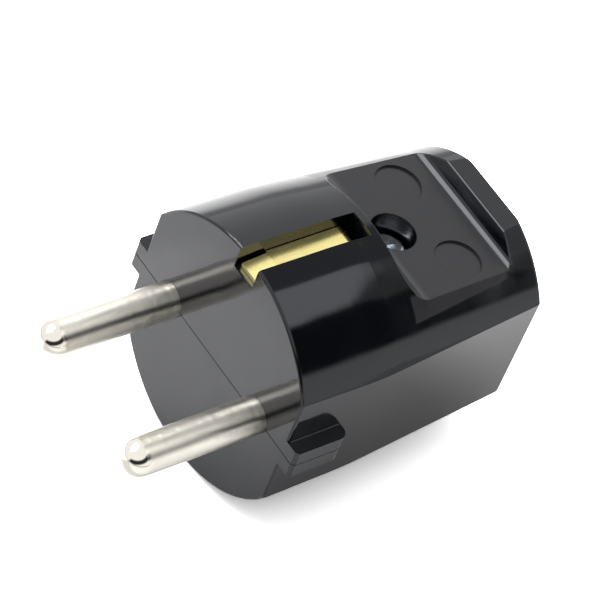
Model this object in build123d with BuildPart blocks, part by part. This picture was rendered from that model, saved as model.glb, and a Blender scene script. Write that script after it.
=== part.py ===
from build123d import *
import math
import os

# Rewirable earthed mains plug with two round pins, in two half shells.
# Sizes are in millimetres. X runs along the pins towards their tips, Y across
# the pins, Z up through the earth contacts. The origin is the centre of the
# flat engagement face. Places behind the face are given as depths, counted
# backwards from it along X.

os.makedirs("parts", exist_ok=True)

# Fits between pieces
seat_gap = 0.05
screw_gap = 0.1
free_gap = 0.25
overshoot = 1.0

# Outside of the body
body_length = 38.3
face_radius = 18.1
taper_depth = 12.0
taper_radius = 17.95
rear_radius = 16.05
flat_reach = 15.8
rear_flat_reach = 13.6
taper_blend = 2.4
face_edge = 0.35
rear_edge = 0.6
wall = 2.2

# Guide ribs on the side flats
rib_width = 4.3
rib_reach = 17.85
rib_length = 7.75
rib_round = 1.25
rib_chamfer = 0.45
rib_root_round = 0.15

# Grip recess and rear collar
grip_depth = 18.05
grip_front_height = 13.8
grip_rear_height = 12.85
grip_front_round = 3.2
collar_depth = 34.2
collar_run = 1.0
collar_height = 15.1
collar_draft = 0.12
collar_base_round = 1.2
collar_edge_round = 0.3
grip_edge_round = 0.2

# Round moulding marks on the grip flat
mark_depth = 28.4
mark_offset = 6.5
mark_radius = 3.1
mark_sink = 0.3

# Contact pins and their terminal heads
pin_spacing = 19.0
pin_radius = 2.4
pin_length = 19.0
root_step = 0.2
root_run = 0.6
front_wall = 4.2
head_radius = 3.5
head_length = 9.0
head_edge = 0.3
wire_radius = 1.6
wire_depth = 7.5
terminal_place = 5.8
saddle_place = 1.2
saddle_width = 1.2
stop_width = 1.2
partition_gap = 0.8
partition_width = 1.0

# Screws
terminal_shank_radius = 1.5
terminal_shank_length = 3.2
terminal_head_radius = 2.3
terminal_head_height = 1.7
housing_depth = 22.9
housing_shank_radius = 1.5
housing_shank_length = 18.0
housing_head_radius = 2.75
housing_head_height = 2.0
housing_head_sink = 3.2
housing_hole_radius = 3.0
clamp_shank_radius = 1.3
clamp_shank_length = 7.0
clamp_head_radius = 2.3
clamp_head_height = 1.6
drive_width = 0.7
drive_sink = 0.8
head_round = 0.5
shank_end = 0.3

# Nuts
nut_width = 5.5
nut_height = 2.4

# Earth slots and the earth contact bow
slot_width = 3.8
slot_floor = 14.75
slot_length = 16.8
slot_wall = 1.4
bow_thickness = 0.6
bow_width = 3.6
bow_lift = 0.35
bow_tip_setback = 0.7
tongue_width = 3.0
tongue_length = 3.5
bow_bend_radius = 0.6
bow_rear_gap = 0.9
lug_width = 5.6
lug_length = 8.0
lug_corner = 0.8
earth_screw_place = 4.6
earth_shank_length = 4.5
post_width = 7.4
washer_width = 5.2
washer_thickness = 0.9

# Cord inlet and cord clamp
inlet_radius = 4.25
inlet_flare = 0.6
rear_wall = 2.6
clamp_setback = 7.3
clamp_offset = 7.6
clamp_post_radius = 2.6
clamp_bar_width = 5.0
clamp_bar_thickness = 1.6
clamp_bar_end = 2.7
clamp_bar_round = 1.6
clamp_arch_radius = 3.8
clamp_tooth_height = 0.8
clamp_tooth_width = 1.2

# Locating pegs between the shells
peg_radius = 0.9
peg_height = 1.5
peg_offset = 8.6

# Places worked out from the sizes above
pin_offset = pin_spacing / 2
head_front = front_wall + seat_gap
head_rear = head_front + head_length
stop_front = head_rear + seat_gap
stop_rear = stop_front + stop_width
terminal_depth = head_front + terminal_place
saddle_depth = head_front + saddle_place
partition_reach = pin_offset - head_radius - partition_gap
cavity_rear = body_length - rear_wall
clamp_depth = body_length - clamp_setback
chamber_rear = grip_depth - wall
rear_ceiling = grip_rear_height - wall
web_rear = slot_length - bow_rear_gap
web_front = web_rear - bow_thickness
bow_top = slot_floor + seat_gap + bow_lift + bow_thickness
flat_slope = (flat_reach - rear_flat_reach) / (body_length - taper_depth)
grip_slope = (grip_front_height - grip_rear_height) / (collar_depth - grip_depth)
grip_at_screw = grip_front_height - (housing_depth - grip_depth) * grip_slope
head_top = grip_at_screw - housing_head_sink
head_seat = head_top - housing_head_height
nut_seat = head_seat - housing_shank_length + nut_height
boss_radius = housing_hole_radius + wall
shank_hole = housing_shank_radius + free_gap
earth_depth = web_front - earth_screw_place
post_top = -bow_thickness / 2 - seat_gap
washer_bottom = bow_thickness / 2 + seat_gap
tongue_end = bow_tip_setback + tongue_length
root_radius = pin_radius + root_step


def corner(sketch, x, y):
    """Return the vertex of a sketch that lies nearest to a point."""
    return sketch.vertices().sort_by_distance(Vector(x, y))[0]


def radius_at(depth, inset):
    """Return the radius of the round body at a depth, less an inset."""
    if depth <= taper_depth:
        share = depth / taper_depth
        return face_radius + share * (taper_radius - face_radius) - inset
    share = (depth - taper_depth) / (body_length - taper_depth)
    return taper_radius + share * (rear_radius - taper_radius) - inset


def blend_radius(front_rise, rear_rise):
    """Return the radius that blends two runs of the body over the set reach."""
    front_turn = math.atan(front_rise / taper_depth)
    rear_turn = math.atan(rear_rise / (body_length - taper_depth))
    return taper_blend / math.tan(abs(front_turn - rear_turn) / 2)


def flat_at(depth, inset):
    """Return the reach of the side flats at a depth, less an inset."""
    return flat_reach - max(0, depth - taper_depth) * flat_slope - inset


# Sloping plane of the grip flat, at the middle of the round marks
grip_plane = Plane(
    origin=(-mark_depth, 0, grip_front_height - (mark_depth - grip_depth) * grip_slope),
    x_dir=(1, 0, grip_slope),
    z_dir=(-grip_slope, 0, 1),
)

# Places of the pegs in the front wall and the rear wall
peg_places = [
    (-front_wall / 2, 0),
    (-body_length + rear_wall / 2, peg_offset),
    (-body_length + rear_wall / 2, -peg_offset),
]


def pin_form():
    """Return a contact pin on the X axis that widens behind the engagement face."""
    with BuildPart() as pin:
        with BuildSketch() as pin_line:
            with BuildLine():
                Polyline(
                    (pin_length, 0),
                    (pin_length, pin_radius),
                    (0, pin_radius),
                    (-root_run, root_radius),
                    (-head_front, root_radius),
                    (-head_front, head_radius),
                    (-head_rear, head_radius),
                    (-head_rear, 0),
                    close=True,
                )
            make_face()
            fillet(corner(pin_line, pin_length, pin_radius), pin_radius - seat_gap)
            chamfer(corner(pin_line, -head_front, head_radius), head_edge)
            chamfer(corner(pin_line, -head_rear, head_radius), head_edge)
        revolve(axis=Axis.X)
        with BuildSketch(Plane.YZ.offset(-head_rear)):
            Circle(wire_radius)
        extrude(amount=wire_depth, mode=Mode.SUBTRACT)
        with BuildSketch():
            with Locations((-terminal_depth, 0)):
                Circle(terminal_shank_radius + screw_gap)
        extrude(amount=head_radius, mode=Mode.SUBTRACT)
    return pin.part


def pin_hole_form():
    """Return the hole of a contact pin through the front wall, on the X axis."""
    with BuildPart() as pin_hole:
        with BuildSketch():
            with BuildLine():
                Polyline(
                    (0, 0),
                    (0, pin_radius + seat_gap),
                    (-root_run, root_radius + seat_gap),
                    (-front_wall, root_radius + seat_gap),
                    (-front_wall, 0),
                    close=True,
                )
            make_face()
        revolve(axis=Axis.X)
    return pin_hole.part


def screw_form(shank_radius, shank_length, cap_radius, cap_height, turns):
    """Return a screw standing on the underside of its head."""
    with BuildPart() as screw:
        with BuildSketch(Plane.XZ) as screw_line:
            with BuildLine():
                Polyline(
                    (0, -shank_length),
                    (shank_radius, -shank_length),
                    (shank_radius, 0),
                    (cap_radius, 0),
                    (cap_radius, cap_height),
                    (0, cap_height),
                    close=True,
                )
            make_face()
            chamfer(corner(screw_line, shank_radius, -shank_length), shank_end)
            fillet(corner(screw_line, cap_radius, cap_height), head_round)
        revolve(axis=Axis.Z)
        with BuildSketch(Plane.XY.offset(cap_height)):
            for turn in turns:
                Rectangle(2 * cap_radius / len(turns), drive_width, rotation=turn)
        extrude(amount=-drive_sink, mode=Mode.SUBTRACT)
    return screw.part


def nut_form(shank_radius):
    """Return a hexagon nut hanging from its upper face."""
    with BuildPart() as nut:
        with BuildSketch():
            RegularPolygon(nut_width / 2, 6, major_radius=False)
            Circle(shank_radius + screw_gap, mode=Mode.SUBTRACT)
        extrude(amount=-nut_height)
    return nut.part


# Outer form of the closed body, round with two side flats
with BuildPart() as outer_form:
    with BuildSketch() as side_line:
        with BuildLine():
            Polyline(
                (0, 0),
                (0, face_radius),
                (-taper_depth, taper_radius),
                (-body_length, rear_radius),
                (-body_length, 0),
                close=True,
            )
        make_face()
        fillet(
            corner(side_line, -taper_depth, taper_radius),
            blend_radius(taper_radius - face_radius, rear_radius - taper_radius),
        )
        fillet(corner(side_line, 0, face_radius), face_edge)
        fillet(corner(side_line, -body_length, rear_radius), rear_edge)
    revolve(axis=Axis.X)
    with BuildSketch(Plane.XY.offset(-face_radius)) as plan_line:
        with BuildLine():
            Polyline(
                (0, 0),
                (0, flat_reach),
                (-taper_depth, flat_reach),
                (-body_length, rear_flat_reach),
                (-body_length, 0),
                close=True,
            )
        make_face()
        fillet(
            corner(plan_line, -taper_depth, flat_reach),
            blend_radius(0, rear_flat_reach - flat_reach),
        )
        fillet(corner(plan_line, 0, flat_reach), face_edge)
        fillet(corner(plan_line, -body_length, rear_flat_reach), rear_edge)
        mirror(about=Plane.XZ)
    extrude(amount=2 * face_radius, mode=Mode.INTERSECT)
    with BuildSketch(Plane.XY.offset(-rib_width / 2)) as rib_line:
        with BuildLine():
            Polyline(
                (0, flat_reach - overshoot),
                (0, rib_reach),
                (-rib_length, rib_reach),
                (-rib_length, flat_reach - overshoot),
                close=True,
            )
        make_face()
        chamfer(corner(rib_line, 0, rib_reach), rib_chamfer)
        fillet(corner(rib_line, -rib_length, rib_reach), rib_round)
        mirror(about=Plane.XZ)
    extrude(amount=rib_width)
    with BuildSketch(Plane.YZ.offset(-face_edge)) as root_line:
        with BuildLine():
            Polyline(
                (flat_reach - rib_root_round, rib_width / 2 + 2 * rib_root_round),
                (flat_reach, rib_width / 2 + 2 * rib_root_round),
                (flat_reach, rib_width / 2),
                (flat_reach + 2 * rib_root_round, rib_width / 2),
                (flat_reach + 2 * rib_root_round, rib_width / 2 - rib_root_round),
                (flat_reach - rib_root_round, rib_width / 2 - rib_root_round),
                close=True,
            )
        make_face()
        fillet(corner(root_line, flat_reach, rib_width / 2), rib_root_round)
        mirror(about=Plane.XZ)
        mirror(about=Plane.YZ)
    extrude(amount=face_edge - rib_length)

# Space inside the closed body
with BuildPart() as cavity:
    with BuildSketch():
        with BuildLine():
            Polyline(
                (-front_wall, 0),
                (-front_wall, radius_at(front_wall, wall)),
                (-taper_depth, radius_at(taper_depth, wall)),
                (-cavity_rear, radius_at(cavity_rear, wall)),
                (-cavity_rear, 0),
                close=True,
            )
        make_face()
    revolve(axis=Axis.X)
    with BuildSketch(Plane.XY.offset(-face_radius)):
        with BuildLine():
            Polyline(
                (-front_wall, 0),
                (-front_wall, flat_at(front_wall, wall)),
                (-taper_depth, flat_at(taper_depth, wall)),
                (-cavity_rear, flat_at(cavity_rear, wall)),
                (-cavity_rear, 0),
                close=True,
            )
        make_face()
        mirror(about=Plane.XZ)
    extrude(amount=2 * face_radius, mode=Mode.INTERSECT)
    with BuildSketch(Plane.XZ):
        with Locations((-(chamber_rear + body_length) / 2, (rear_ceiling + face_radius) / 2)):
            Rectangle(body_length - chamber_rear, face_radius - rear_ceiling)
        mirror(about=Plane.XZ)
    extrude(amount=face_radius, both=True, mode=Mode.SUBTRACT)
    with Locations((-slot_length / 2, 0, slot_floor), (-slot_length / 2, 0, -slot_floor)):
        Box(slot_length + 2 * wall, slot_width + 2 * slot_wall, 2 * wall, mode=Mode.SUBTRACT)

# Walls inside the upper half that hold the pins and part the terminals
with BuildPart() as inner_walls:
    with Locations((-front_wall, partition_reach, 0)):
        Box(
            stop_rear - front_wall,
            partition_width,
            face_radius,
            align=(Align.MAX, Align.MAX, Align.MIN),
        )
    with Locations((-saddle_depth, partition_reach - partition_width, 0)):
        Box(
            saddle_width,
            face_radius,
            face_radius,
            align=(Align.MAX, Align.MIN, Align.MIN),
        )
    with Locations((-stop_front, partition_reach - partition_width, 0)):
        Box(
            stop_width,
            face_radius,
            face_radius,
            align=(Align.MAX, Align.MIN, Align.MIN),
        )
    with BuildSketch(Plane.YZ):
        with Locations((pin_offset, 0)):
            Circle(head_radius + seat_gap)
    extrude(amount=-stop_front, mode=Mode.SUBTRACT)
    with BuildSketch(Plane.YZ):
        with Locations((pin_offset, 0)):
            Circle(wire_radius + free_gap)
    extrude(amount=-stop_rear, mode=Mode.SUBTRACT)
    mirror(about=Plane.XZ)
    add(cavity.part, mode=Mode.INTERSECT)

# Upper half with everything that both shells share
with BuildPart() as half_shell:
    add(outer_form.part)
    split(bisect_by=Plane.XY, keep=Keep.TOP)
    with BuildSketch(Plane.XZ) as grip_line:
        with BuildLine():
            Polyline(
                (-grip_depth, face_radius + overshoot),
                (-grip_depth, grip_front_height),
                (-collar_depth, grip_rear_height),
                (-collar_depth - collar_run, collar_height),
                (-body_length - overshoot, collar_height - collar_draft),
                (-body_length - overshoot, face_radius + overshoot),
                close=True,
            )
        make_face()
        fillet(corner(grip_line, -grip_depth, grip_front_height), grip_front_round)
        fillet(corner(grip_line, -collar_depth, grip_rear_height), collar_base_round)
        fillet(corner(grip_line, -collar_depth - collar_run, collar_height), collar_edge_round)
    extrude(amount=face_radius + overshoot, both=True, mode=Mode.SUBTRACT)
    fillet(half_shell.edges(Select.NEW).filter_by(Axis.Y, reverse=True), grip_edge_round)
    add(cavity.part, mode=Mode.SUBTRACT)
    # Slot of the earth contact and the slit where the contact turns inwards
    with Locations((overshoot, 0, slot_floor)):
        Box(
            slot_length + overshoot,
            slot_width,
            face_radius,
            align=(Align.MAX, Align.CENTER, Align.MIN),
            mode=Mode.SUBTRACT,
        )
    with Locations((-slot_length, 0, slot_floor - 2 * wall)):
        Box(
            slot_length - web_front + bow_bend_radius,
            slot_width,
            face_radius,
            align=(Align.MIN, Align.CENTER, Align.MIN),
            mode=Mode.SUBTRACT,
        )
    # Half holes for the pins and the cord inlet
    with Locations((0, pin_offset, 0), (0, -pin_offset, 0)):
        add(pin_hole_form(), mode=Mode.SUBTRACT)
    with BuildSketch():
        with BuildLine():
            Polyline(
                (-cavity_rear + overshoot, 0),
                (-cavity_rear + overshoot, inlet_radius),
                (-body_length + inlet_flare, inlet_radius),
                (-body_length, inlet_radius + inlet_flare),
                (-body_length, 0),
                close=True,
            )
        make_face()
    revolve(axis=Axis.X, mode=Mode.SUBTRACT)
    # Boss around the housing screw
    with BuildSketch():
        with Locations((-housing_depth, 0)):
            Circle(boss_radius)
    extrude(amount=rear_ceiling + wall / 2)
    with BuildSketch():
        with Locations((-housing_depth, 0)):
            Circle(shank_hole)
    extrude(amount=face_radius, mode=Mode.SUBTRACT)
    add(inner_walls.part)

# Upper shell with the sunk screw head, two bare round marks and peg holes
with BuildPart() as upper_shell:
    add(half_shell.part)
    with BuildSketch(Plane.XY.offset(head_seat)):
        with Locations((-housing_depth, 0)):
            Circle(housing_hole_radius)
    extrude(amount=face_radius, mode=Mode.SUBTRACT)
    with BuildSketch(grip_plane):
        with Locations((0, mark_offset), (0, -mark_offset)):
            Circle(mark_radius)
    extrude(amount=-mark_sink, mode=Mode.SUBTRACT)
    with BuildSketch():
        with Locations(*peg_places):
            Circle(peg_radius + screw_gap)
    extrude(amount=peg_height + free_gap, mode=Mode.SUBTRACT)
upper_shell.part.label = "upper_shell"
export_step(upper_shell.part, "parts/upper_shell.step")

# Lower shell with the nut pockets, the earth post, the clamp posts and the pegs
with BuildPart() as lower_shell:
    add(half_shell.part.mirror(Plane.XY))
    with BuildSketch(Plane.XY.offset(nut_seat)):
        with Locations((-housing_depth, 0)):
            RegularPolygon(nut_width / 2 + screw_gap, 6, major_radius=False)
    extrude(amount=-face_radius, mode=Mode.SUBTRACT)
    with Locations((-earth_depth, 0, post_top)):
        Box(
            post_width,
            post_width,
            slot_floor - wall + post_top + wall / 2,
            align=(Align.CENTER, Align.CENTER, Align.MAX),
        )
    with BuildSketch(Plane.XY.offset(post_top)):
        with Locations((-earth_depth, 0)):
            Circle(terminal_shank_radius + free_gap)
    extrude(amount=-earth_shank_length, mode=Mode.SUBTRACT)
    with BuildSketch(Plane.XY.offset(post_top)):
        with Locations((-earth_depth, 0)):
            RegularPolygon(nut_width / 2 + screw_gap, 6, major_radius=False)
    extrude(amount=-nut_height - seat_gap, mode=Mode.SUBTRACT)
    with BuildSketch():
        with Locations((-clamp_depth, clamp_offset), (-clamp_depth, -clamp_offset)):
            Circle(clamp_post_radius)
    extrude(amount=-rear_ceiling - wall / 2)
    with BuildSketch():
        with Locations((-clamp_depth, clamp_offset), (-clamp_depth, -clamp_offset)):
            Circle(clamp_shank_radius + screw_gap)
    extrude(amount=-clamp_shank_length, mode=Mode.SUBTRACT)
    with BuildSketch():
        with Locations(*peg_places):
            Circle(peg_radius)
    extrude(amount=peg_height)
lower_shell.part.label = "lower_shell"
export_step(lower_shell.part, "parts/lower_shell.step")

# Contact pins with rounded tips, terminal heads and wire holes
with BuildPart() as pin_left:
    with Locations((0, pin_offset, 0)):
        add(pin_form())
pin_left.part.label = "pin_left"
export_step(pin_left.part, "parts/pin_left.step")

with BuildPart() as pin_right:
    with Locations((0, -pin_offset, 0)):
        add(pin_form())
pin_right.part.label = "pin_right"
export_step(pin_right.part, "parts/pin_right.step")

# Earth contact, one strip bent into a U with a terminal lug at its middle
with BuildPart() as earth_bow:
    with BuildSketch(Plane.XZ) as bow_line:
        with BuildLine():
            Polyline(
                (-bow_tip_setback, bow_top - bow_lift),
                (-tongue_end, bow_top),
                (-web_rear, bow_top),
                (-web_rear, 0),
                (-web_front, 0),
                (-web_front, bow_top - bow_thickness),
                (-tongue_end, bow_top - bow_thickness),
                (-bow_tip_setback, bow_top - bow_lift - bow_thickness),
                close=True,
            )
        make_face()
        fillet(corner(bow_line, -web_rear, bow_top), bow_bend_radius + bow_thickness)
        fillet(corner(bow_line, -web_front, bow_top - bow_thickness), bow_bend_radius)
        mirror(about=Plane.XZ)
    extrude(amount=bow_width / 2, both=True)
    with BuildSketch(Plane.XY.offset(-bow_top)):
        with Locations((-tongue_end / 2, (bow_width + tongue_width) / 4)):
            Rectangle(tongue_end, (bow_width - tongue_width) / 2)
        mirror(about=Plane.XZ)
    extrude(amount=2 * bow_top, mode=Mode.SUBTRACT)
    with BuildSketch(Plane.XY.offset(-bow_thickness / 2)) as lug_line:
        with Locations((-web_front, 0)):
            Rectangle(lug_length, lug_width, align=(Align.MIN, Align.CENTER))
        fillet(lug_line.vertices().group_by(Axis.X)[-1], lug_corner)
        with Locations((-earth_depth, 0)):
            Circle(terminal_shank_radius + free_gap, mode=Mode.SUBTRACT)
    extrude(amount=bow_thickness)
earth_bow.part.label = "earth_bow"
export_step(earth_bow.part, "parts/earth_bow.step")

# Clamp plate under the earth screw
with BuildPart() as earth_washer:
    with BuildSketch(Plane.XY.offset(washer_bottom)) as washer_line:
        with Locations((-earth_depth, 0)):
            RectangleRounded(washer_width, washer_width, lug_corner)
            Circle(terminal_shank_radius + free_gap, mode=Mode.SUBTRACT)
    extrude(amount=washer_thickness)
earth_washer.part.label = "earth_washer"
export_step(earth_washer.part, "parts/earth_washer.step")

# Nuts of the earth screw and of the housing screw
with BuildPart() as earth_nut:
    with Locations((-earth_depth, 0, post_top)):
        add(nut_form(terminal_shank_radius))
earth_nut.part.label = "earth_nut"
export_step(earth_nut.part, "parts/earth_nut.step")

with BuildPart() as housing_nut:
    with Locations((-housing_depth, 0, nut_seat - seat_gap)):
        add(nut_form(housing_shank_radius))
housing_nut.part.label = "housing_nut"
export_step(housing_nut.part, "parts/housing_nut.step")

# Slotted screws of the two pin terminals and of the earth terminal
with BuildPart() as terminal_screw_left:
    with Locations((-terminal_depth, pin_offset, head_radius + seat_gap)):
        add(
            screw_form(
                terminal_shank_radius,
                terminal_shank_length,
                terminal_head_radius,
                terminal_head_height,
                [0],
            )
        )
terminal_screw_left.part.label = "terminal_screw_left"
export_step(terminal_screw_left.part, "parts/terminal_screw_left.step")

with BuildPart() as terminal_screw_right:
    add(terminal_screw_left.part.mirror(Plane.XZ))
terminal_screw_right.part.label = "terminal_screw_right"
export_step(terminal_screw_right.part, "parts/terminal_screw_right.step")

with BuildPart() as earth_screw:
    with Locations((-earth_depth, 0, washer_bottom + washer_thickness + seat_gap)):
        add(
            screw_form(
                terminal_shank_radius,
                earth_shank_length,
                terminal_head_radius,
                terminal_head_height,
                [0],
            )
        )
earth_screw.part.label = "earth_screw"
export_step(earth_screw.part, "parts/earth_screw.step")

# Cross-headed screw that holds the two shells together
with BuildPart() as housing_screw:
    with Locations((-housing_depth, 0, head_seat + seat_gap)):
        add(
            screw_form(
                housing_shank_radius,
                housing_shank_length,
                housing_head_radius,
                housing_head_height,
                [0, 90],
            )
        )
housing_screw.part.label = "housing_screw"
export_step(housing_screw.part, "parts/housing_screw.step")

# Arched bar that presses the cord down, on its two posts
with BuildPart() as cord_clamp:
    with BuildSketch(Plane.YZ.offset(-clamp_depth)):
        with Locations((0, seat_gap)):
            Rectangle(
                2 * (clamp_offset + clamp_bar_end),
                clamp_bar_thickness,
                align=(Align.CENTER, Align.MIN),
            )
        Circle(clamp_arch_radius + clamp_bar_thickness)
        Circle(clamp_arch_radius, mode=Mode.SUBTRACT)
        with Locations((0, clamp_arch_radius)):
            Rectangle(clamp_tooth_width, 2 * clamp_tooth_height)
        with Locations((0, seat_gap)):
            Rectangle(
                4 * clamp_offset,
                2 * clamp_arch_radius + 2 * clamp_bar_thickness,
                align=(Align.CENTER, Align.MAX),
                mode=Mode.SUBTRACT,
            )
    extrude(amount=clamp_bar_width / 2, both=True)
    with BuildSketch():
        with Locations((-clamp_depth, clamp_offset), (-clamp_depth, -clamp_offset)):
            Circle(clamp_shank_radius + free_gap)
    extrude(amount=2 * clamp_bar_thickness, mode=Mode.SUBTRACT)
    bar_ends = cord_clamp.edges().filter_by(Axis.Z).group_by(Axis.Y)
    fillet(bar_ends[0] + bar_ends[-1], clamp_bar_round)
cord_clamp.part.label = "cord_clamp"
export_step(cord_clamp.part, "parts/cord_clamp.step")

with BuildPart() as clamp_screw_left:
    with Locations((-clamp_depth, clamp_offset, clamp_bar_thickness + 2 * seat_gap)):
        add(
            screw_form(
                clamp_shank_radius,
                clamp_shank_length,
                clamp_head_radius,
                clamp_head_height,
                [0, 90],
            )
        )
clamp_screw_left.part.label = "clamp_screw_left"
export_step(clamp_screw_left.part, "parts/clamp_screw_left.step")

with BuildPart() as clamp_screw_right:
    add(clamp_screw_left.part.mirror(Plane.XZ))
clamp_screw_right.part.label = "clamp_screw_right"
export_step(clamp_screw_right.part, "parts/clamp_screw_right.step")
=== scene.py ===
import bmesh
import bpy
import math
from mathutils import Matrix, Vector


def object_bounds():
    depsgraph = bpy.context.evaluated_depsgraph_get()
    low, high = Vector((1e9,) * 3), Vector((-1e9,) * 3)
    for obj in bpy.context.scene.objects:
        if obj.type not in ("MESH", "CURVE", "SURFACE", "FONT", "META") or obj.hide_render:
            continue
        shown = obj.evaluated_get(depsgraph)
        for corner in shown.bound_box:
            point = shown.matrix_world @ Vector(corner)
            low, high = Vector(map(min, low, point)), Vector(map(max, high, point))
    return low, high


# An earthed mains plug of glossy black plastic, lying on a pale table with its
# two pins towards the lower left. The frame holds its solids at real size.
bl_info = {
    "name": "Earthed Mains Plug",
    "version": (1, 0, 0),
    "blender": (4, 5, 0),
    "location": "View3D > Sidebar > Plug",
    "description": "Dresses the solids of an earthed mains plug and sets its stage",
    "category": "Object",
}

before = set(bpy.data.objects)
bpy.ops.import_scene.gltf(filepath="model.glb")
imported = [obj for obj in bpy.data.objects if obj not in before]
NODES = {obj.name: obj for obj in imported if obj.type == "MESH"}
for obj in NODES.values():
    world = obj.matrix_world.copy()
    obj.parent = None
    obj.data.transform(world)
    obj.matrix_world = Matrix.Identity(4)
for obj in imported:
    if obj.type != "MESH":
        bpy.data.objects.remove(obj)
CAD_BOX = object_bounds()
TABLE_HEIGHT = CAD_BOX[0][2]
ORIGIN = (0.0, 0.0, 0.0)

CAMERA_PLACE = (0.213944, 0.181634, 0.309107)
CAMERA_TURN = (0.72168914, -0.26924294, 2.54263577)
CAMERA_LENS = 209.225
SENSOR_WIDTH = 36.0
CLIP_START = 0.01
CLIP_END = 20.0

# Lengths and places are in metres. A run is where a finish starts and stops changing.
SEAM_RUN = (0.00005, 0.0001)
SEAM_FADE = (-0.0085, -0.0078)
GRIP_FRONT = (-0.0183, -0.0178)
GRIP_FLOOR = (0.0122, 0.0124)
GRIP_RIM = (0.0142, 0.0146)
COLLAR_FOOT = (-0.0337, -0.0331)
SCREW_PLACE = (-0.0229, 0.0, 0.0)
SCREW_HOLE_RUN = (0.003, 0.0032)
MARK_PLACE = (-0.0284, 0.0065, 0.0)
MARK_RADIUS = 0.0031
MARK_EDGE_RUN = (0.00004, 0.00014)

# Scale, in spots to the metre, and detail of each noise, and the span of levels that the metals use
SMEAR_NOISE = (160.0, 3.0)
WEAR_NOISE = (900.0, 4.0)
DUST_NOISE = (5200.0, 2.0)
WAVE_NOISE = (120.0, 1.0)
CHATTER_NOISE = (1600.0, 2.0)
STAIN_NOISE = (300.0, 3.0)
DRAWN_NOISE = (3800.0, 3.0)
TARNISH_NOISE = (420.0, 4.0)
GRAIN_NOISE = (1500.0, 2.0)
MIDDLE_LEVELS = (0.3, 0.7)

# Black plastic: what the seam, the grip, smears, wear and the marks add to its dullness,
# the painted sheen of the grip (a paler bluish colour that stands in for its reflection, also used for
# the dust specks), and the depth of its waves
SEAM_SHARE = 0.08
GRIP_DULLNESS = 0.16
SMEAR_DULLNESS = 0.06
SMEAR_LEVELS = (0.35, 0.75)
WEAR_DULLNESS = 0.03
MARK_DULLNESS = 0.35
GRIP_SHEEN_SHARE = 0.24
DUST_AND_SHEEN_COLOR = (0.052, 0.05, 0.057)
SHEEN_TINT = (0.93, 0.94, 1.0, 1.0)
DUST_LEVELS = (0.74, 0.78)
SEAM_SINK = -0.4
WAVE_DEPTH = 0.00006

# Turned nickel
RING_PITCH = 0.00022
RING_DEPTH = 0.0000022
RING_RUN = (0.002, 0.014)
RING_SHARE_AT_TIP = 0.25
FINE_PITCH = 0.00005
FINE_DEPTH = 0.0000022
CHATTER_LEAST = 0.75
SHANK_END = (0.0161, 0.0171)
DOME_RING_SHARE = 0.1
POLISH_RUN = (0.016, 0.0175)
SHANK_ROUGHNESS = 0.25
DOME_ROUGHNESS = 0.05
NICKEL_STAIN = 0.88

# Pale brass and bright zinc
DRAWN_STRETCH = (0.08, 1.0, 0.08)
DRAWN_DEPTH = 0.00000025
BRASS_ROUGHNESS = (0.23, 0.29)
TARNISH_LEVELS = (0.5, 0.75)
TARNISH_SHARE = 0.4
TARNISH_TONE = (0.82, 0.68, 0.5)
GRAIN_DEPTH = 0.0000004
ZINC_ROUGHNESS = (0.16, 0.3)
ZINC_SPARKLE = 1.12

# How reflections see the table: the bright pool by the pins, the table behind the plug and on
# its far side, the shaded strip along the plug, and the fading far table. The camera sees it glow.
POOL_PLACE = (0.012, -0.012, TABLE_HEIGHT)
POOL_RUN = (0.008, 0.03)
REAR_RUN = (-0.053, -0.037)
REAR_SHARE = 0.55
FAR_SIDE_RUN = (-0.014, -0.004)
FAR_SIDE_SHARE = 0.5
STRIP_RUN = (0.019, 0.028)
STRIP_SHARE = 0.75
FAR_TABLE_RUN = (0.06, 0.35)
FAR_TABLE_SHARE = 0.35
GLOW_RUN = (0.05, 0.25)
FAR_GLOW_SHARE = 0.5
TABLE_ROUGHNESS = 0.8

# Patches of the sky in degrees: bearing from +X to +Y, rise, half width, half height, tilt, soft edge
OPEN_SIDE = (60.0, 21.0, 60.0, 13.5, 0.33, 6.0)
OPEN_CORNER = (129.0, 34.3, 21.0, 18.3, -0.4, 2.5)
DIM_SIDE = (176.0, 42.0, 35.0, 24.0, 0.0, 3.0)
SOFT_BOX = (-66.0, 50.0, 34.0, 16.0, 0.0, 3.0)
WINDOW = (159.5, 54.0, 20.0, 6.2, 0.1, 1.5)

# The open corner and the dim side show only in directions whose X is close to this
BAND_MIDDLE = -0.565
BAND_RUN = (0.1, 0.18)


class PLUG_PG_finish(bpy.types.PropertyGroup):
    """Colours and gloss of the plug's plastics and metals"""

    plastic_color: bpy.props.FloatVectorProperty(
        name="Plastic colour",
        description="Colour of the moulded shells",
        default=(0.0014, 0.0022, 0.0034),
        subtype="COLOR",
        min=0.0,
        max=1.0,
    )
    plastic_roughness: bpy.props.FloatProperty(
        name="Plastic roughness",
        description="How dull the moulded shells are",
        default=0.05,
        min=0.0,
        max=1.0,
        subtype="FACTOR",
    )
    plastic_ior: bpy.props.FloatProperty(
        name="Plastic refraction",
        description="Refractive index of the moulded shells, which sets how bright they mirror",
        default=1.54,
        min=1.0,
        max=3.0,
    )
    nickel_color: bpy.props.FloatVectorProperty(
        name="Nickel colour",
        description="Colour of the plated contact pins",
        default=(0.9, 0.86, 0.77),
        subtype="COLOR",
        min=0.0,
        max=1.0,
    )
    brass_color: bpy.props.FloatVectorProperty(
        name="Brass colour",
        description="Colour of the earth contact strip",
        default=(1.0, 0.88, 0.38),
        subtype="COLOR",
        min=0.0,
        max=1.0,
    )
    zinc_color: bpy.props.FloatVectorProperty(
        name="Zinc colour",
        description="Colour of the screws and nuts",
        default=(0.68, 0.72, 0.76),
        subtype="COLOR",
        min=0.0,
        max=1.0,
    )


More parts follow.
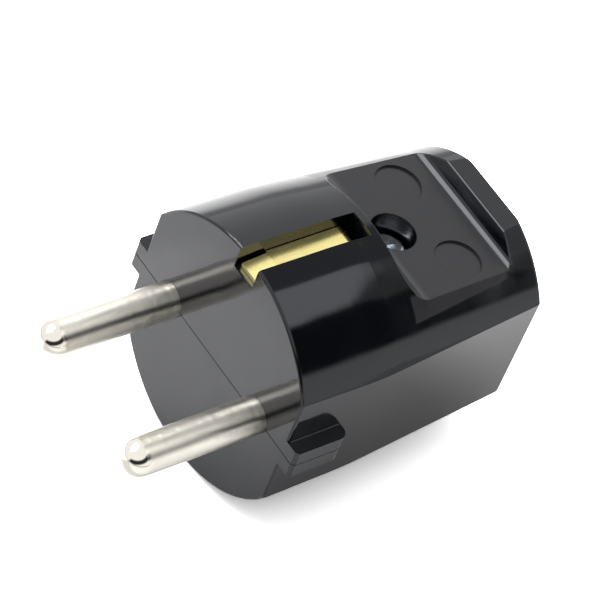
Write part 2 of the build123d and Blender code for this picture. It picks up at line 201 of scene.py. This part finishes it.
class PLUG_PG_stage(bpy.types.PropertyGroup):
    """Floor and lights around the plug"""

    floor_size: bpy.props.FloatProperty(
        name="Floor size",
        description="Side length of the table top",
        default=6.0,
        unit="LENGTH",
    )
    floor_color: bpy.props.FloatVectorProperty(
        name="Floor colour",
        description="Colour of the table top",
        default=(0.86, 0.86, 0.86),
        subtype="COLOR",
        min=0.0,
        max=1.0,
    )
    floor_glow: bpy.props.FloatProperty(
        name="Floor glow",
        description="How much whiter the table looks to the camera",
        default=1.45,
        min=0.0,
    )
    pool_level: bpy.props.FloatProperty(
        name="Light pool",
        description="How bright reflections show the table in front of the plug and behind it",
        default=1.9,
        min=0.0,
    )
    side_level: bpy.props.FloatProperty(
        name="Shaded side",
        description="How bright reflections show the table beside the plug",
        default=0.85,
        min=0.0,
    )
    tent_strength: bpy.props.FloatProperty(
        name="Tent strength",
        description="Level of the even light from all round",
        default=1.05,
        min=0.0,
    )
    dark_strength: bpy.props.FloatProperty(
        name="Dark side strength",
        description="Level of the light from the open side of the tent",
        default=0.03,
        min=0.0,
    )
    dim_share: bpy.props.FloatProperty(
        name="Dim side",
        description="How dark the side behind the plug is, against the open side",
        default=0.72,
        min=0.0,
        max=1.0,
        subtype="FACTOR",
    )
    box_strength: bpy.props.FloatProperty(
        name="Soft box strength",
        description="Light that the soft box adds to the tent",
        default=5.0,
        min=0.0,
    )
    window_strength: bpy.props.FloatProperty(
        name="Window strength",
        description="Light that the small window adds to the tent",
        default=1.45,
        min=0.0,
    )


def new_material(name):
    """Make an empty node material and return it with its principled shader"""
    material = bpy.data.materials.new(name)
    material.use_nodes = True
    nodes = material.node_tree.nodes
    nodes.clear()
    output = nodes.new("ShaderNodeOutputMaterial")
    shader = nodes.new("ShaderNodeBsdfPrincipled")
    link(material, shader.outputs["BSDF"], output.inputs["Surface"])
    return material, shader


def link(material, source, target):
    """Join two node sockets of a material or of the sky"""
    material.node_tree.links.new(source, target)


def math_node(material, operation, first, second=None, clamp=False):
    """Add a maths node on two sockets or numbers and return its result"""
    node = material.node_tree.nodes.new("ShaderNodeMath")
    node.operation = operation
    node.use_clamp = clamp
    for socket, value in zip(node.inputs, (first, second)):
        if value is None:
            continue
        if isinstance(value, (int, float)):
            socket.default_value = value
        else:
            link(material, value, socket)
    return node.outputs[0]


def plus(material, first, second):
    """Return the sum of two values"""
    return math_node(material, "ADD", first, second)


def minus(material, first, second):
    """Return the difference of two values"""
    return math_node(material, "SUBTRACT", first, second)


def times(material, first, second):
    """Return the product of two values"""
    return math_node(material, "MULTIPLY", first, second)


def larger(material, first, second):
    """Return the larger of two values"""
    return math_node(material, "MAXIMUM", first, second)


def unsigned(material, value):
    """Return a value without its sign"""
    return math_node(material, "ABSOLUTE", value)


def ramp(material, value, run, start, end):
    """Turn a value that crosses a run smoothly into one from start to end"""
    node = material.node_tree.nodes.new("ShaderNodeMapRange")
    node.interpolation_type = "SMOOTHSTEP"
    link(material, value, node.inputs["Value"])
    node.inputs["From Min"].default_value = run[0]
    node.inputs["From Max"].default_value = run[1]
    node.inputs["To Min"].default_value = start
    node.inputs["To Max"].default_value = end
    return node.outputs["Result"]


def own_point(material):
    """Return a point's own place on the plug"""
    return material.node_tree.nodes.new("ShaderNodeTexCoord").outputs["Object"]


def split(material, vector):
    """Return the X, Y and Z of a vector"""
    node = material.node_tree.nodes.new("ShaderNodeSeparateXYZ")
    link(material, vector, node.inputs[0])
    return node.outputs


def join(material, *parts):
    """Return a vector made of its first parts, with the rest left at zero"""
    node = material.node_tree.nodes.new("ShaderNodeCombineXYZ")
    for part, socket in zip(parts, node.inputs):
        link(material, part, socket)
    return node.outputs[0]


def noise(material, vector, scale, detail):
    """Return a soft random value between 0 and 1"""
    node = material.node_tree.nodes.new("ShaderNodeTexNoise")
    link(material, vector, node.inputs["Vector"])
    node.inputs["Scale"].default_value = scale
    node.inputs["Detail"].default_value = detail
    return node.outputs["Fac"]


def distance(material, point, centre):
    """Return how far a point lies from a centre"""
    node = material.node_tree.nodes.new("ShaderNodeVectorMath")
    node.operation = "DISTANCE"
    link(material, point, node.inputs[0])
    node.inputs[1].default_value = centre
    return node.outputs["Value"]


def grey_diffuse(material, level):
    """Return a matt grey shader as bright as a level socket says"""
    matt = material.node_tree.nodes.new("ShaderNodeBsdfDiffuse")
    grey = material.node_tree.nodes.new("ShaderNodeCombineColor")
    for socket in grey.inputs[:3]:
        link(material, level, socket)
    link(material, grey.outputs[0], matt.inputs["Color"])
    return matt.outputs[0]


def bump(material, shader, height, depth):
    """Raise a material's surface by a height socket, in metres at full height"""
    node = material.node_tree.nodes.new("ShaderNodeBump")
    node.inputs["Strength"].default_value = 1.0
    node.inputs["Distance"].default_value = depth
    link(material, height, node.inputs["Height"])
    link(material, node.outputs["Normal"], shader.inputs["Normal"])


def tint(material, factor, first, second):
    """Return a colour between two, by a factor socket"""
    node = material.node_tree.nodes.new("ShaderNodeMix")
    node.data_type = "RGBA"
    link(material, factor, node.inputs["Factor"])
    node.inputs[6].default_value = (*first, 1.0)
    node.inputs[7].default_value = (*second, 1.0)
    return node.outputs[2]


def patch(world, direction, bearing, rise, half_width, half_height, tilt, soft):
    """Return 1 inside a soft-edged patch of the sky and 0 outside it, all in degrees"""
    turned = world.node_tree.nodes.new("ShaderNodeVectorRotate")
    turned.rotation_type = "Z_AXIS"
    turned.inputs["Angle"].default_value = -math.radians(bearing)
    link(world, direction, turned.inputs["Vector"])
    x, y, z = split(world, turned.outputs["Vector"])
    aside = math_node(world, "DEGREES", math_node(world, "ARCTAN2", y, x))
    above = minus(world, math_node(world, "DEGREES", math_node(world, "ARCSINE", z)), rise)
    above = minus(world, above, times(world, aside, tilt))
    width_run = (half_width - soft, half_width + soft)
    height_run = (half_height - soft, half_height + soft)
    across = ramp(world, unsigned(world, aside), width_run, 1.0, 0.0)
    along = ramp(world, unsigned(world, above), height_run, 1.0, 0.0)
    return times(world, across, along)


def seam_line(material, x, height):
    """Return the parting line of the shells, plain at the front and faint behind the ribs"""
    seam = ramp(material, height, SEAM_RUN, 1.0, 0.0)
    return times(material, seam, ramp(material, x, SEAM_FADE, SEAM_SHARE, 1.0))


def grip_area(material, x, height):
    """Return 1 on the two sunk finger grips and 0 elsewhere"""
    behind_front = ramp(material, x, GRIP_FRONT, 1.0, 0.0)
    below_rim = ramp(material, height, GRIP_RIM, 1.0, 0.0)
    above_floor = ramp(material, height, GRIP_FLOOR, 0.0, 1.0)
    before_collar = ramp(material, x, COLLAR_FOOT, 0.0, 1.0)
    grip = times(material, behind_front, below_rim)
    grip = times(material, grip, above_floor)
    return times(material, grip, before_collar)


def black_plastic(settings):
    """Glossy black mouldings with a parting line, dull grips with a painted sheen, dust and faint waves
    """
    material, shader = new_material("black_plastic")
    shader.inputs["IOR"].default_value = settings.plastic_ior
    shader.inputs["Specular Tint"].default_value = SHEEN_TINT
    point = own_point(material)
    x, y, z = split(material, point)
    height = unsigned(material, z)
    plan_point = join(material, x, unsigned(material, y))
    seam = seam_line(material, x, height)
    grip = grip_area(material, x, height)

    smears = noise(material, point, *SMEAR_NOISE)
    roughness = settings.plastic_roughness
    dullness = ramp(material, smears, SMEAR_LEVELS, roughness, roughness + SMEAR_DULLNESS)
    dullness = plus(material, dullness, times(material, grip, GRIP_DULLNESS))
    wear = noise(material, point, *WEAR_NOISE)
    dullness = plus(material, dullness, times(material, wear, WEAR_DULLNESS))
    dullness = plus(material, dullness, seam)
    off_mark = minus(material, distance(material, plan_point, MARK_PLACE), MARK_RADIUS)
    mark_edge = ramp(material, unsigned(material, off_mark), MARK_EDGE_RUN, MARK_DULLNESS, 0.0)
    mark_edge = times(material, mark_edge, grip)
    dullness = math_node(material, "ADD", dullness, mark_edge, clamp=True)
    link(material, dullness, shader.inputs["Roughness"])

    # Dust specks are real; the grips also get painted sheen, a paler bluish colour away from the screw
    # hole that stands in for their reflection.
    specks = noise(material, point, *DUST_NOISE)
    dust = ramp(material, specks, DUST_LEVELS, 0.0, 1.0)
    from_screw = distance(material, plan_point, SCREW_PLACE)
    off_hole = ramp(material, from_screw, SCREW_HOLE_RUN, 0.0, GRIP_SHEEN_SHARE)
    dust_and_sheen = larger(material, dust, times(material, grip, off_hole))
    colour = tint(material, dust_and_sheen, settings.plastic_color, DUST_AND_SHEEN_COLOR)
    link(material, colour, shader.inputs["Base Color"])

    waves = noise(material, point, *WAVE_NOISE)
    relief = plus(material, waves, times(material, seam, SEAM_SINK))
    bump(material, shader, relief, WAVE_DEPTH)
    return material


def turned_rings(material, along, pitch, depth):
    """Return the height of even rings cut by a turning tool"""
    turns = math_node(material, "SINE", times(material, along, 2 * math.pi / pitch))
    return times(material, turns, depth)


def turned_nickel(settings):
    """Bright nickel with fine turned rings, deeper near the plug's face"""
    material, shader = new_material("turned_nickel")
    shader.inputs["Metallic"].default_value = 1.0
    point = own_point(material)
    x = split(material, point)["X"]
    uneven = noise(material, join(material, x), *CHATTER_NOISE)
    chatter = ramp(material, uneven, MIDDLE_LEVELS, CHATTER_LEAST, 1.0)
    near_face = ramp(material, x, RING_RUN, 1.0, RING_SHARE_AT_TIP)
    coarse = times(material, turned_rings(material, x, RING_PITCH, RING_DEPTH), near_face)
    height = plus(material, coarse, turned_rings(material, x, FINE_PITCH, FINE_DEPTH))
    height = times(material, height, chatter)
    height = times(material, height, ramp(material, x, SHANK_END, 1.0, DOME_RING_SHARE))
    bump(material, shader, height, 1.0)
    polish = ramp(material, x, POLISH_RUN, SHANK_ROUGHNESS, DOME_ROUGHNESS)
    link(material, polish, shader.inputs["Roughness"])
    stain = noise(material, point, *STAIN_NOISE)
    darker = tuple(part * NICKEL_STAIN for part in settings.nickel_color)
    link(material, tint(material, stain, settings.nickel_color, darker), shader.inputs["Base Color"])
    return material


def pale_brass(settings):
    """Pale brass strip, drawn along its length and a little tarnished"""
    material, shader = new_material("pale_brass")
    shader.inputs["Metallic"].default_value = 1.0
    point = own_point(material)
    mapping = material.node_tree.nodes.new("ShaderNodeMapping")
    mapping.inputs["Scale"].default_value = DRAWN_STRETCH
    link(material, point, mapping.inputs["Vector"])
    drawn = noise(material, mapping.outputs["Vector"], *DRAWN_NOISE)
    bump(material, shader, drawn, DRAWN_DEPTH)
    link(material, ramp(material, drawn, MIDDLE_LEVELS, *BRASS_ROUGHNESS), shader.inputs["Roughness"])
    clouds = noise(material, point, *TARNISH_NOISE)
    tarnish = ramp(material, clouds, TARNISH_LEVELS, 0.0, TARNISH_SHARE)
    darker = tuple(part * tone for part, tone in zip(settings.brass_color, TARNISH_TONE))
    link(material, tint(material, tarnish, settings.brass_color, darker), shader.inputs["Base Color"])
    return material


def bright_zinc(settings):
    """Bluish zinc of the screws, with a grainy plated skin"""
    material, shader = new_material("bright_zinc")
    shader.inputs["Metallic"].default_value = 1.0
    grain = noise(material, own_point(material), *GRAIN_NOISE)
    bump(material, shader, grain, GRAIN_DEPTH)
    link(material, ramp(material, grain, MIDDLE_LEVELS, *ZINC_ROUGHNESS), shader.inputs["Roughness"])
    paler = tuple(min(1.0, part * ZINC_SPARKLE) for part in settings.zinc_color)
    link(material, tint(material, grain, settings.zinc_color, paler), shader.inputs["Base Color"])
    return material


def paint(node, material):
    """Give every slot of a node the same material"""
    slots = NODES[node].data.materials
    if not slots:
        slots.append(material)
    for i in range(len(slots)):
        slots[i] = material


class PLUG_OT_shells(bpy.types.Operator):
    """Finish the two moulded shells and the cord clamp"""

    bl_idname = "plug.shells"
    bl_label = "Shells"

    def execute(self, context):
        material = black_plastic(context.scene.plug_finish)
        for node in ("upper_shell", "lower_shell", "cord_clamp"):
            paint(node, material)
        return {"FINISHED"}


class PLUG_OT_pins(bpy.types.Operator):
    """Finish the two contact pins"""

    bl_idname = "plug.pins"
    bl_label = "Contact pins"

    def execute(self, context):
        material = turned_nickel(context.scene.plug_finish)
        for node in ("pin_left", "pin_right"):
            paint(node, material)
        return {"FINISHED"}


class PLUG_OT_earth_contact(bpy.types.Operator):
    """Finish the earth contact"""

    bl_idname = "plug.earth_contact"
    bl_label = "Earth contact"

    def execute(self, context):
        paint("earth_bow", pale_brass(context.scene.plug_finish))
        return {"FINISHED"}


class PLUG_OT_screws(bpy.types.Operator):
    """Finish the screws, the nuts and the clamp plate of the earth screw"""

    bl_idname = "plug.screws"
    bl_label = "Screws and nuts"

    def execute(self, context):
        material = bright_zinc(context.scene.plug_finish)
        for node in NODES:
            if "screw" in node or "nut" in node or "washer" in node:
                paint(node, material)
        return {"FINISHED"}


class PLUG_OT_stage(bpy.types.Operator):
    """Set the table, the lights and the camera"""

    bl_idname = "plug.stage"
    bl_label = "Stage"

    def execute(self, context):
        stage = context.scene.plug_stage
        floor = self.table(context, stage)
        self.sky(context, stage)
        self.camera(context)
        return {"FINISHED"}

    def table(self, context, stage):
        """Return a pale table top under the plug"""
        table = bmesh.new()
        bmesh.ops.create_grid(table, x_segments=1, y_segments=1, size=stage.floor_size / 2)
        bmesh.ops.translate(table, verts=table.verts, vec=(0.0, 0.0, TABLE_HEIGHT))
        mesh = bpy.data.meshes.new("table_top")
        table.to_mesh(mesh)
        table.free()
        floor = bpy.data.objects.new("table_top", mesh)
        context.scene.collection.objects.link(floor)
        material, shader = new_material("pale_table")
        shader.inputs["Base Color"].default_value = (*stage.floor_color, 1.0)
        shader.inputs["Roughness"].default_value = TABLE_ROUGHNESS
        self.glow(material, shader, stage)
        mesh.materials.append(material)
        return floor

    def glow(self, material, shader, stage):
        """Make the table white to the camera, and show it in reflections by level"""
        nodes = material.node_tree.nodes
        point = own_point(material)
        path = nodes.new("ShaderNodeLightPath")
        reach = distance(material, point, ORIGIN)
        glow = ramp(material, reach, GLOW_RUN, stage.floor_glow, stage.floor_glow * FAR_GLOW_SHARE)
        glow = times(material, glow, path.outputs["Is Camera Ray"])
        direct = nodes.new("ShaderNodeAddShader")
        link(material, shader.outputs[0], direct.inputs[0])
        link(material, grey_diffuse(material, glow), direct.inputs[1])
        mirrored = grey_diffuse(material, self.mirror_level(material, point, reach, stage))
        glossy, through = path.outputs["Is Glossy Ray"], path.outputs["Is Transmission Ray"]
        both = nodes.new("ShaderNodeMixShader")
        link(material, larger(material, glossy, through), both.inputs[0])
        link(material, direct.outputs[0], both.inputs[1])
        link(material, mirrored, both.inputs[2])
        link(material, both.outputs[0], nodes["Material Output"].inputs["Surface"])

    def mirror_level(self, material, point, reach, stage):
        """Return how bright each place of the table is in reflections"""
        x, y = split(material, point)[:2]
        pool = ramp(material, distance(material, point, POOL_PLACE), POOL_RUN, 1.0, 0.0)
        rear = ramp(material, x, REAR_RUN, REAR_SHARE, 0.0)
        far_side = ramp(material, y, FAR_SIDE_RUN, FAR_SIDE_SHARE, 0.0)
        bright = larger(material, pool, larger(material, rear, far_side))
        level = times(material, bright, stage.pool_level - stage.side_level)
        level = plus(material, level, stage.side_level)
        level = times(material, level, ramp(material, unsigned(material, y), STRIP_RUN, STRIP_SHARE, 1.0))
        return times(material, level, ramp(material, reach, FAR_TABLE_RUN, 1.0, FAR_TABLE_SHARE))

    def sky(self, context, stage):
        """Light the scene with an even white tent that has dark sides, a soft box and a window"""
        world = bpy.data.worlds.new("studio")
        world.use_nodes = True
        nodes = world.node_tree.nodes
        background = nodes["Background"]
        background.inputs["Color"].default_value = (1.0, 1.0, 1.0, 1.0)
        direction = nodes.new("ShaderNodeTexCoord").outputs["Generated"]
        x = split(world, direction)["X"]
        band = ramp(world, unsigned(world, minus(world, x, BAND_MIDDLE)), BAND_RUN, 1.0, 0.0)
        dim = times(world, patch(world, direction, *DIM_SIDE), stage.dim_share)
        dim = larger(world, dim, patch(world, direction, *OPEN_CORNER))
        dark = larger(world, times(world, dim, band), patch(world, direction, *OPEN_SIDE))
        tent = times(world, dark, stage.dark_strength - stage.tent_strength)
        tent = plus(world, tent, stage.tent_strength)
        box = times(world, patch(world, direction, *SOFT_BOX), stage.box_strength)
        tent = plus(world, tent, box)
        window = times(world, patch(world, direction, *WINDOW), stage.window_strength)
        tent = plus(world, tent, window)
        seen = nodes.new("ShaderNodeLightPath").outputs["Is Camera Ray"]
        lit = times(world, tent, minus(world, 1.0, seen))
        link(world, plus(world, lit, seen), background.inputs["Strength"])
        context.scene.world = world

    def camera(self, context):
        """Place the camera at the photograph's angle"""
        data = bpy.data.cameras.new("camera")
        data.lens = CAMERA_LENS
        data.sensor_width = SENSOR_WIDTH
        data.sensor_fit = "HORIZONTAL"
        data.clip_start = CLIP_START
        data.clip_end = CLIP_END
        camera = bpy.data.objects.new("camera", data)
        camera.location = CAMERA_PLACE
        camera.rotation_euler = CAMERA_TURN
        context.scene.collection.objects.link(camera)
        context.scene.camera = camera
        context.scene.view_settings.view_transform = "Standard"


class PLUG_PT_panel(bpy.types.Panel):
    """Sizes, colours and steps of the plug"""

    bl_idname = "PLUG_PT_panel"
    bl_label = "Earthed Mains Plug"
    bl_space_type = "VIEW_3D"
    bl_region_type = "UI"
    bl_category = "Plug"

    def draw(self, context):
        layout = self.layout
        for group in (context.scene.plug_finish, context.scene.plug_stage):
            for name in group.__annotations__:
                layout.prop(group, name)
        for step in STEPS:
            layout.operator(step.bl_idname)


GROUPS = (PLUG_PG_finish, PLUG_PG_stage)
STEPS = (PLUG_OT_shells, PLUG_OT_pins, PLUG_OT_earth_contact, PLUG_OT_screws, PLUG_OT_stage)
CLASSES = (*GROUPS, *STEPS, PLUG_PT_panel)


def register():
    """Make the settings, the operators and the panel known to Blender"""
    for cls in CLASSES:
        bpy.utils.register_class(cls)
    bpy.types.Scene.plug_finish = bpy.props.PointerProperty(type=PLUG_PG_finish)
    bpy.types.Scene.plug_stage = bpy.props.PointerProperty(type=PLUG_PG_stage)


def unregister():
    """Take them all out of Blender again"""
    del bpy.types.Scene.plug_stage
    del bpy.types.Scene.plug_finish
    for cls in reversed(CLASSES):
        bpy.utils.unregister_class(cls)


def main():
    """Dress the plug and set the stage"""
    register()
    bpy.ops.plug.shells()
    bpy.ops.plug.pins()
    bpy.ops.plug.earth_contact()
    bpy.ops.plug.screws()
    bpy.ops.plug.stage()


if __name__ == "__main__":
    main()
